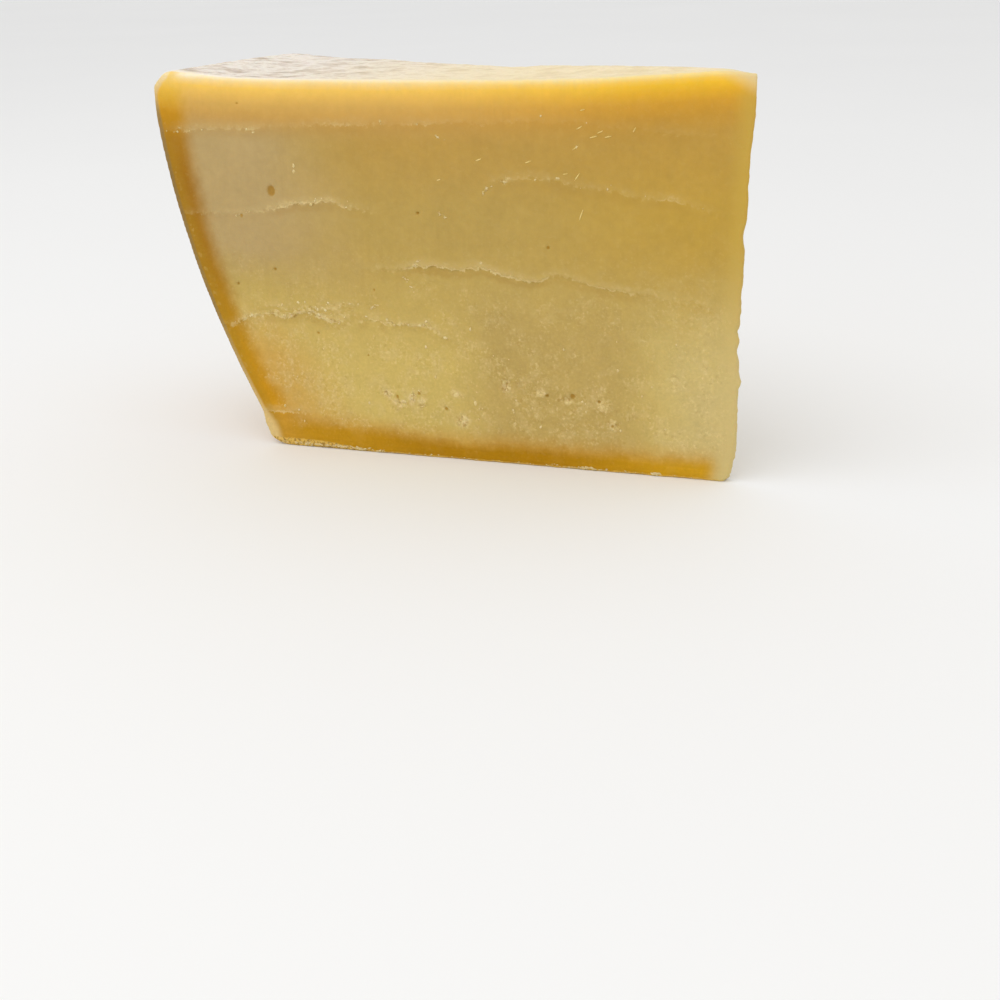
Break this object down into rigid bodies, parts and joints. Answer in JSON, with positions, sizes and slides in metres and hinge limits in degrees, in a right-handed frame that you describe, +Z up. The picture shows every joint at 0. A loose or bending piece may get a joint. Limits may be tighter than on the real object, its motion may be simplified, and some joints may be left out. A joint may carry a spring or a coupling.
{
  "type": "chunk of hard cheese",
  "caption": "Thin wedge of a hard grating cheese wheel with a barrel-shaped rind side, two crumbly cut faces, a blunt tip and a flat base to rest on.",
  "frame": {"origin": "on the plane of the base, under the middle of the chunk's bounding box", "axes": "+Z up, along the axis of the wheel; +X from the rind to the blunt tip along the long cut face, which looks towards -Y"},
  "size_m": [0.2008, 0.0786, 0.1286],
  "materials": {
    "cheese": null
  },
  "bodies": {
    "root": {"cheese_chunk": "cheese"}
  },
  "joints": []
}
